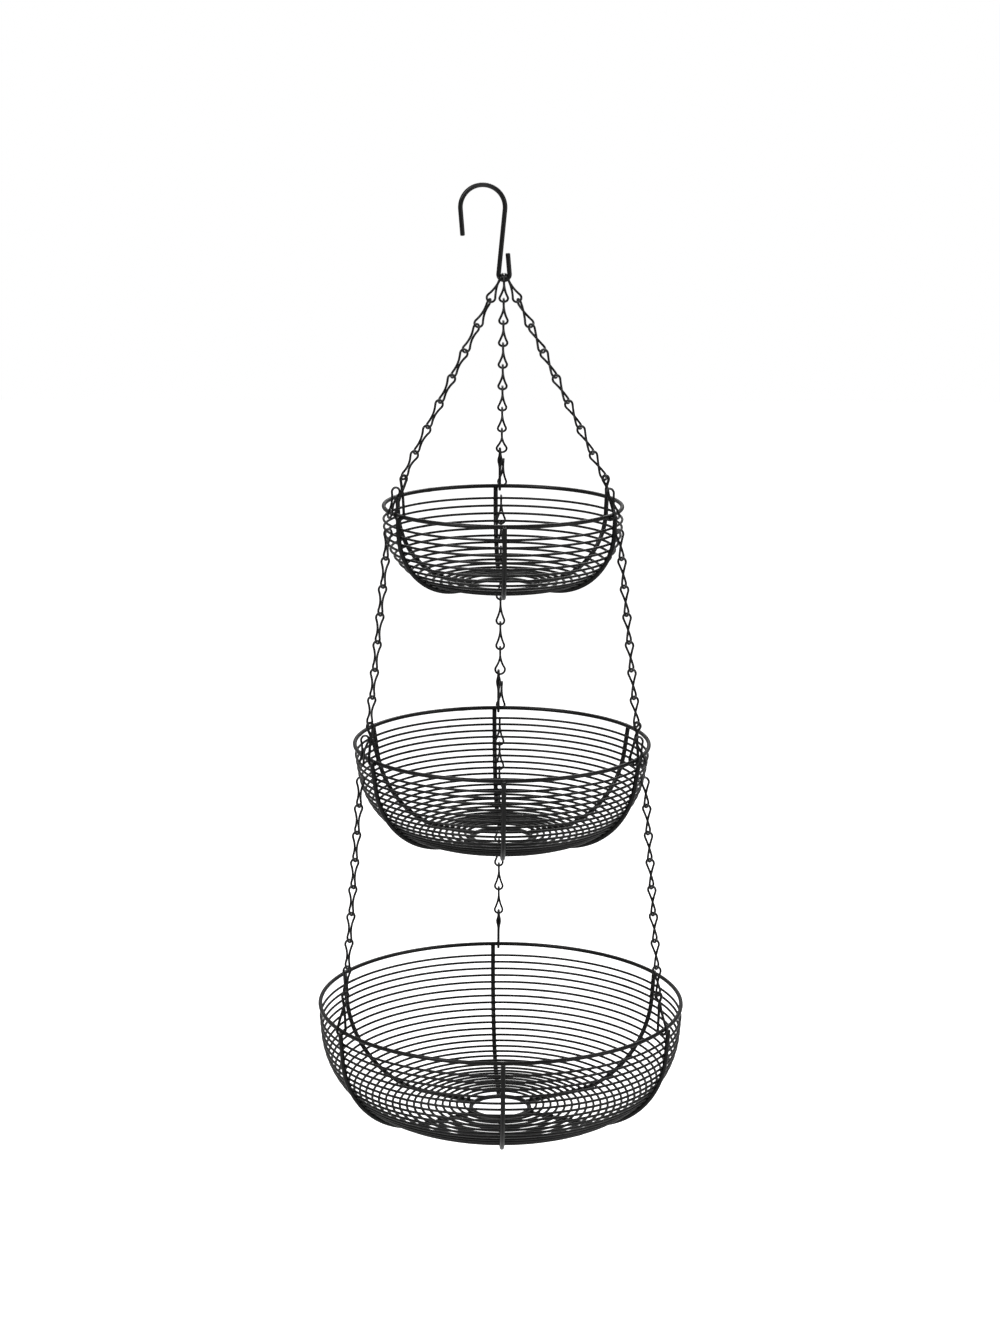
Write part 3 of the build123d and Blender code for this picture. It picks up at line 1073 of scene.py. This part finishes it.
@dataclass
class ChainWork:
    """The three chains, link by link on the frame's own links.

    Attributes:
        hook_radius: Mean radius of the upper loop of the links that hang in the hook.
        carrier_radius: Mean radius of the lower loop of the links that carry a hanger and a lead link.
    """

    hook_radius: float = 0.0038
    carrier_radius: float = 0.0044

    def build(self, shop: Workshop) -> None:
        """Bend the link forms and stand them where the frame's links are.

        Args:
            shop: The workshop.
        """
        forms = {
            LinkUse.PLAIN: LinkForm(),
            LinkUse.HOOK: LinkForm(top_radius=self.hook_radius),
            LinkUse.CARRIER: LinkForm(foot_radius=self.carrier_radius),
        }
        bent = {}
        for use, form in forms.items():
            mesh = form.course().mesh(f"{use.value}_link", closed=True)
            bent[use] = shop.bend_wire(f"{use.value}_link_form", mesh, WireKind.LINK)
        for section in Section:
            for side in Side:
                self.hang_section(shop, bent, section, f"{section.value}_{side.value}")
        for form in bent.values():
            bpy.data.objects.remove(form)

    @staticmethod
    def hang_section(shop: Workshop, bent: dict[LinkUse, Piece], section: Section, node: str) -> None:
        """Stand the links of one node.

        Args:
            shop: The workshop.
            bent: The link forms by their use.
            section: The section of chain.
            node: The frame node that the links replace.
        """
        links = solids(node)
        groups: dict[LinkUse, list[Place]] = {}
        for number, link in enumerate(links):
            use = LinkUse.PLAIN
            if section is Section.UPPER and number == 0:
                use = LinkUse.HOOK
            if section in (Section.UPPER, Section.MIDDLE) and number == len(links) - 1:
                use = LinkUse.CARRIER
            groups.setdefault(use, []).append((link.centre, link.turn))
        parts = [
            shop.stand_forms(f"{node}_{use.value}", bent[use], places, WireKind.LINK)
            for use, places in groups.items()
        ]
        settle(join_pieces(f"{node}_links", parts), frame["nodes"][node]["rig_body"], node)


@dataclass(frozen=True)
class HangerForm:
    """A hanger of one closed wire: an eye, a crossed waist and a foot that goes under the rim.

    Attributes:
        eye_radius: Mean radius of the eye.
        foot_radius: Mean radius of the foot's bend.
        length: Distance from the eye's centre to the rim's.
        waist: Distance from the eye's centre to the crossing.
        rim_gap: Gap between the rim and the foot below it.
        bow_reach: How far from the waist the strands bow apart.
        bend_step: Largest step on the bends.
        run_step: Largest step on the straight runs.
        eye_rub: Reach and amount of the wear in the eye.
        foot_rub: Reach and amount of the wear under the rim.
    """

    eye_radius: float = 0.0029
    foot_radius: float = 0.0042
    length: float = 0.0315
    waist: float = 0.0079
    rim_gap: float = 0.0003
    bow_reach: float = 0.0046
    bend_step: float = 0.0007
    run_step: float = 0.0009
    eye_rub: tuple[float, float] = (0.0019, 0.8)
    foot_rub: tuple[float, float] = (0.0024, 0.6)

    @property
    def foot_centre(self) -> Point:
        """Centre of the foot's bend, with the eye's centre at the origin."""
        rise = self.foot_radius - WireKind.RIM.radius - WireKind.HANGER.radius - self.rim_gap
        return upright(rise - self.length)

    @property
    def middle(self) -> Point:
        """Middle of the centre line's height."""
        return upright((self.eye_radius + self.foot_centre.z - self.foot_radius) / 2)

    def course(self) -> Course:
        """Draw the centre line from the eye's top round the foot and back, with one strand in front.

        Returns:
            The course.
        """
        foot = self.foot_centre
        eye_angle = math.degrees(math.asin(self.eye_radius / self.waist))
        foot_angle = math.degrees(math.asin(self.foot_radius / (-self.waist - foot.z)))
        eye_exit = polar(self.eye_radius, 180 + eye_angle)
        foot_exit = foot + polar(self.foot_radius, foot_angle)
        mirror = Matrix.Diagonal((-1.0, 1.0, 1.0))
        strand = Course(step=self.bend_step)
        strand.arc(upright(0), polar(self.eye_radius, 90), eye_exit, math.radians(90 + eye_angle))
        strand.run(upright(-self.waist), self.run_step).run(foot_exit, self.run_step)
        strand.arc(foot, foot_exit, foot + polar(self.foot_radius, -90), math.radians(90 + foot_angle))
        forward = [self.bow(point, WireKind.HANGER.radius) for point in strand.points]
        back = [mirror @ self.bow(point, -WireKind.HANGER.radius) for point in strand.points]
        course = Course(step=self.bend_step)
        course.to(*forward, *reversed(back[1:-1]))
        course.rub(upright(self.eye_radius - WireKind.HANGER.radius), *self.eye_rub)
        course.rub(foot + upright(WireKind.HANGER.radius - self.foot_radius), *self.foot_rub)
        return course

    def bow(self, point: Point, amount: float) -> Point:
        """Point of a strand moved out of the hanger's plane, most at the waist."""
        distance = abs(point.z + self.waist) / self.bow_reach
        return point + Vector((0.0, amount * math.exp(-distance * distance), 0.0))


@dataclass
class HangerWork:
    """The nine hangers, three to a basket.

    Attributes:
        form: The shape of each.
    """

    form: HangerForm = HangerForm()

    def build(self, shop: Workshop) -> None:
        """Bend one hanger and stand it on each of the frame's.

        Args:
            shop: The workshop.
        """
        mesh = self.form.course().mesh("hanger", closed=True)
        bent = shop.bend_wire("hanger_form", mesh, WireKind.HANGER)
        for tier in Tier:
            for side in Side:
                node = f"{tier.value}_hanger_{side.value}"
                solid = solids(node)[0]
                spot = solid.centre - solid.turn @ self.form.middle
                piece = shop.stand_forms(f"{node}_wire", bent, [(spot, solid.turn)], WireKind.HANGER)
                settle(piece, frame["nodes"][node]["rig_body"], node)
        bpy.data.objects.remove(bent)


@dataclass(frozen=True)
class WeldBead:
    """The flat round bead at every weld of ring to rib.

    Attributes:
        width: Its radius, as a share of the ring wire's.
        height: Its height above its middle, as a share of the ring wire's radius.
        segments: Number of its faces round.
        rings: Number of its faces from pole to pole.
    """

    width: float = 1.35
    height: float = 0.62
    segments: int = 10
    rings: int = 6

    def build(self) -> Piece:
        """Make the bead, facing +Z, as the form for every weld.

        Returns:
            The bead.
        """
        radius = WireKind.RING.radius
        form = bmesh.new()
        bmesh.ops.create_uvsphere(form, u_segments=self.segments, v_segments=self.rings, radius=1.0)
        size = (radius * self.width, radius * self.width, radius * self.height)
        bmesh.ops.scale(form, vec=size, verts=form.verts)
        mesh = bpy.data.meshes.new("weld_form")
        form.to_mesh(mesh)
        form.free()
        mesh.shade_smooth()
        return new_piece("weld_form", mesh)


@dataclass
class BasketWork:
    """One basket: rim, rings, ribs outside them, the centre ring and the welds that join them.

    Attributes:
        tier: Which basket it is.
        depth: From the rim's centre line to the floor rings'.
        wall_lean: The wall's lean in degrees.
        corner_radius: Radius of the rings' line where wall meets floor.
        seed: Fixes where the rings' own welds lie.
        weld_bite: How far rib and ring are pressed into each other.
        rim_bite: How far rib and rim are pressed into each other.
        centre_sides: Number of sides of the centre ring's section.
        wall_step: Largest step of a rib on the wall.
        corner_step: Largest step of a rib on its bend.
        floor_step: Largest step of a rib on the floor.
    """

    tier: Tier
    depth: float
    wall_lean: float
    corner_radius: float
    seed: int
    weld_bite: float = 0.00025
    rim_bite: float = 0.0003
    centre_sides: int = 18
    wall_step: float = 0.003
    corner_step: float = 0.0025
    floor_step: float = 0.004

    def node(self, part: str) -> str:
        """Name of a frame node of this basket."""
        return f"{self.tier.value}_{part}"

    def measure(self) -> None:
        """Read the basket's axis, level, radii and rib turns from the frame."""
        low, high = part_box(self.node("rim"))
        self.axis = Vector(((low[0] + high[0]) / 2, (low[1] + high[1]) / 2, 0.0))
        self.level = (low[2] + high[2]) / 2
        self.hub = self.axis + upright(self.level)
        self.rim_radius = (high[0] - low[0]) / 2 - WireKind.RIM.radius
        low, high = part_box(self.node("centre_ring"))
        self.centre_level = (low[2] + high[2]) / 2
        self.centre_radius = (high[0] - low[0]) / 2 - WireKind.RIB.radius
        middles = [rib.mean for rib in islands(self.node("ribs"))]
        angles = [math.atan2(middle[1] - self.axis.y, middle[0] - self.axis.x) for middle in middles]
        self.rib_turns = [Matrix.Rotation(angle, 3, "Z") for angle in angles]

    def ring_places(self, part: str) -> list[Ring]:
        """Read each ring of a frame node.

        Args:
            part: The node's name without the basket's word.

        Returns:
            The rings' centres and radii, from the highest and widest on.
        """
        found = []
        for ring in islands(self.node(part)):
            centre = Vector((self.axis.x, self.axis.y, (ring.low[2] + ring.high[2]) / 2))
            found.append((centre, (ring.high[0] - ring.low[0]) / 2 - WireKind.RING.radius))
        return sorted(found, key=lambda ring: -ring[0].z - ring[1])

    def rib_course(self) -> Course:
        """Draw a rib's centre line in the X-Z plane, from beside the rim to the centre ring.

        Returns:
            The course.
        """
        lean = math.radians(self.wall_lean)
        outset = WireKind.RING.radius + WireKind.RIB.radius - self.weld_bite
        beside = self.rim_radius + WireKind.RIM.radius + WireKind.RIB.radius - self.rim_bite
        start = Vector((beside, 0.0, 0.0))
        wall = Vector((-math.sin(lean), 0.0, -math.cos(lean)))
        drop = self.depth - self.corner_radius * (1 - math.sin(lean))
        inner_end = start - Vector((outset * math.cos(lean), 0, 0)) + wall * (drop / math.cos(lean))
        centre = inner_end + Vector((-math.cos(lean), 0.0, math.sin(lean))) * self.corner_radius
        bend = self.corner_radius + outset
        wall_end = centre + Vector((math.cos(lean), 0.0, -math.sin(lean))) * bend
        floor_start = centre - upright(bend)
        floor_end = self.centre_radius + WireKind.RIB.radius * (1 - TIP_ROUND) - self.weld_bite / 2
        course = Course(step=self.corner_step)
        course.to(start).run(wall_end, self.wall_step)
        course.arc(centre, wall_end, floor_start, math.pi / 2 - lean)
        course.run(Vector((floor_end, 0.0, floor_start.z)), self.floor_step)
        return course

    def build(self, shop: Workshop) -> None:
        """Make every piece of the basket and put it on its body.

        Args:
            shop: The workshop.
        """
        self.measure()
        walls, floors = self.ring_places("wall_rings"), self.ring_places("floor_rings")
        centre = Vector((self.axis.x, self.axis.y, self.centre_level))
        # Each row's draw is added to the seed, so that every part's ring welds are strewn anew
        for part, rings, kind, draw, sides in (
            ("rim", [(self.hub, self.rim_radius)], WireKind.RIM, 0, WireKind.RIM.sides),
            ("wall_rings", walls, WireKind.RING, 10, WireKind.RING.sides),
            ("floor_rings", floors, WireKind.RING, 11, WireKind.RING.sides),
            ("centre_ring", [(centre, self.centre_radius)], WireKind.RIB, 3, self.centre_sides),
        ):
            piece = shop.lay_rings(self.node(f"{part}_wire"), rings, kind, self.seed + draw, sides)
            settle(piece, self.tier.body, self.node(part))
        self.build_ribs(shop)
        self.build_welds(shop, walls + floors)

    def build_ribs(self, shop: Workshop) -> None:
        """Bend one rib and stand it round the basket.

        Args:
            shop: The workshop.
        """
        mesh = self.rib_course().mesh("rib", tip=WireKind.RIB.radius)
        rib = shop.bend_wire("rib_form", mesh, WireKind.RIB)
        places = [(self.hub, turn) for turn in self.rib_turns]
        piece = shop.stand_forms(self.node("ribs_wire"), rib, places, WireKind.RIB)
        settle(piece, self.tier.body, self.node("ribs"))
        bpy.data.objects.remove(rib)

    def build_welds(self, shop: Workshop, rings: list[Ring]) -> None:
        """Set a weld bead where each rib crosses each ring, and where it meets the rim.

        Args:
            shop: The workshop.
            rings: Centre and radius of each ring.
        """
        bead = WeldBead().build()
        line = self.rib_course().points
        rim = Vector((self.rim_radius, 0.0, 0.0)) + Vector((WireKind.RIM.radius, 0, 0))
        places = []
        for turn in self.rib_turns:
            for centre, reach in rings:
                ring = Vector((reach, 0.0, centre.z - self.level))
                inward = (ring - nearest_on(line, ring)).normalized()
                spot = ring - inward * (WireKind.RING.radius - self.weld_bite / 2)
                places.append(self.bead_place(spot, inward, turn))
            places.append(self.bead_place(rim, Vector((-1.0, 0.0, 0.0)), turn))
        piece = shop.stand_forms(self.node("weld_beads"), bead, places, WireKind.RIB)
        settle(piece, self.tier.body, slot="rib_wire")
        bpy.data.objects.remove(bead)

    def bead_place(self, spot: Point, inward: Point, turn: Matrix) -> Place:
        """Find the place and turn of a bead that faces inwards.

        Args:
            spot: Its spot in the rib's own plane, from the middle of the rim.
            inward: The way it faces there.
            turn: The rib's turn about the basket's axis.

        Returns:
            The bead's place and turn.
        """
        across = Vector((0.0, 1.0, 0.0))
        face = Matrix((across.cross(inward), across, inward)).transposed()
        return self.hub + turn @ spot, turn @ face


@dataclass(frozen=True)
class Lamp:
    """A square area light.

    Attributes:
        name: Its name.
        offset: Where it hangs, from what it points at.
        power: Its power in watts.
        size: Its side.
    """

    name: str
    offset: tuple[float, float, float]
    power: float
    size: float

    def hang(self, target: Point) -> None:
        """Hang the light and point it.

        Args:
            target: What it points at.
        """
        light = bpy.data.lights.new(self.name, "AREA")
        light.energy = self.power
        light.size = self.size
        lamp = bpy.data.objects.new(self.name, light)
        lamp.location = target + Vector(self.offset)
        lamp.rotation_euler = (target - lamp.location).to_track_quat("-Z", "Y").to_euler()
        bpy.context.scene.collection.objects.link(lamp)


@dataclass(frozen=True)
class Stage:
    """The floor, the light and the camera.

    Attributes:
        axis: The baskets' common axis, at the origin's height.
        floor_reach: Half the floor's side.
        drop: How far below the origin the floor lies.
        paper_tone: The floor's own brightness.
        paper_roughness: The floor's roughness.
        paper_glow: Brightness that the camera sees in the floor on top of its lit tone.
        room_light: Brightness of the room that the wires reflect.
        middle: Height of the object's middle, which the lights point at.
        lamps: The lights.
        focal_pixels: The camera's focal length for a picture of that width.
        picture_width: Width of the picture in pixels.
        sensor_width: The camera's sensor, in millimetres.
        distance: From the camera to the basket axis, along the ground.
        height: The camera's height above the origin.
        pitch: How far it looks down, in degrees.
        yaw: How far the object stands turned, in degrees.
        roll: How far the camera is rolled, in degrees.
        sideways: How far the camera stands to the left.
    """

    axis: Point
    floor_reach: float = 6.0
    drop: float = 1.02
    paper_tone: float = 0.9
    paper_roughness: float = 0.9
    paper_glow: float = 0.9
    room_light: float = 0.3
    middle: float = -0.4
    lamps: tuple[Lamp, ...] = (
        Lamp("key", (-1.5, -1.7, 1.5), 34.0, 1.1),
        Lamp("fill", (1.9, -1.3, 0.5), 12.0, 1.4),
        Lamp("back", (0.2, 1.3, 1.4), 22.0, 1.2),
    )
    focal_pixels: float = 3017.6
    picture_width: float = 1000.0
    sensor_width: float = 36.0
    distance: float = 2.5467
    height: float = 0.1761
    pitch: float = 12.98
    yaw: float = 0.8
    roll: float = 0.26
    sideways: float = 0.0019

    def build(self) -> None:
        """Set the whole stage, with white paper shown as white."""
        self.build_floor()
        self.build_room()
        for lamp in self.lamps:
            lamp.hang(self.axis + upright(self.middle))
        self.build_camera()
        bpy.context.scene.view_settings.view_transform = "Standard"

    def build_floor(self) -> None:
        """Lay a flat pale floor of paper, whose glow the camera sees but the wires don't reflect."""
        mesh = bpy.data.meshes.new("pale_floor")
        reach = self.floor_reach
        corners = [(-reach, -reach), (reach, -reach), (reach, reach), (-reach, reach)]
        mesh.from_pydata([(x, y, -self.drop) for x, y in corners], [], [(0, 1, 2, 3)])
        floor = new_piece("pale_floor", mesh)
        material = bpy.data.materials.new("pale_paper")
        material.use_nodes = True
        tree = material.node_tree
        paper = tree.nodes["Principled BSDF"].inputs
        paper["Base Color"].default_value = (self.paper_tone, self.paper_tone, self.paper_tone, 1.0)
        paper["Roughness"].default_value = self.paper_roughness
        paper["Emission Color"].default_value = WHITE
        ray = add_node(tree, "ShaderNodeLightPath").outputs["Is Camera Ray"]
        glow = add_node(tree, "ShaderNodeMath", {0: ray, 1: self.paper_glow}, operation="MULTIPLY")
        tree.links.new(glow.outputs[0], paper["Emission Strength"])
        mesh.materials.append(material)

    def build_room(self) -> None:
        """Make a dim room for the wires to reflect, with white paper behind them."""
        world = bpy.data.worlds.new("studio")
        world.use_nodes = True
        tree = world.node_tree
        room, paper = (
            add_node(tree, "ShaderNodeBackground", {"Color": WHITE, "Strength": strength}).outputs[0]
            for strength in (self.room_light, 1.0)
        )
        ray = add_node(tree, "ShaderNodeLightPath").outputs["Is Camera Ray"]
        seen = add_node(tree, "ShaderNodeMixShader", {0: ray, 1: room, 2: paper})
        tree.links.new(seen.outputs[0], tree.nodes["World Output"].inputs["Surface"])
        bpy.context.scene.world = world

    def build_camera(self) -> None:
        """Stand the camera at the picture's viewing angle."""
        camera = bpy.data.cameras.new("picture_view")
        camera.sensor_fit = "HORIZONTAL"
        camera.sensor_width = self.sensor_width
        camera.lens = camera.sensor_width * self.focal_pixels / self.picture_width
        stand = bpy.data.objects.new("picture_view", camera)
        turn = Matrix.Rotation(math.radians(-self.yaw), 4, "Z")
        place = turn @ Matrix.Translation((-self.sideways, -self.distance, self.height))
        tilt = Matrix.Rotation(math.radians(90 - self.pitch), 4, "X")
        roll = Matrix.Rotation(math.radians(self.roll), 4, "Z")
        stand.matrix_world = Matrix.Translation(self.axis) @ place @ tilt @ roll
        bpy.context.scene.collection.objects.link(stand)
        bpy.context.scene.camera = stand


def main() -> None:
    """Build every sub-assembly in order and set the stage."""
    logging.basicConfig(level=logging.INFO)
    shop = Workshop()
    hook = HookWork()
    baskets = (
        BasketWork(Tier.TOP, depth=0.0667, wall_lean=2.5, corner_radius=0.0537, seed=11),
        BasketWork(Tier.MID, depth=0.0826, wall_lean=9.5, corner_radius=0.0695, seed=23),
        BasketWork(Tier.BOTTOM, depth=0.0979, wall_lean=4.6, corner_radius=0.0788, seed=37),
    )
    for work in (hook, ChainWork(), HangerWork(), *baskets):
        work.build(shop)
    Stage(axis=Vector((hook.offset, 0.0, 0.0))).build()


if __name__ == "__main__":
    main()
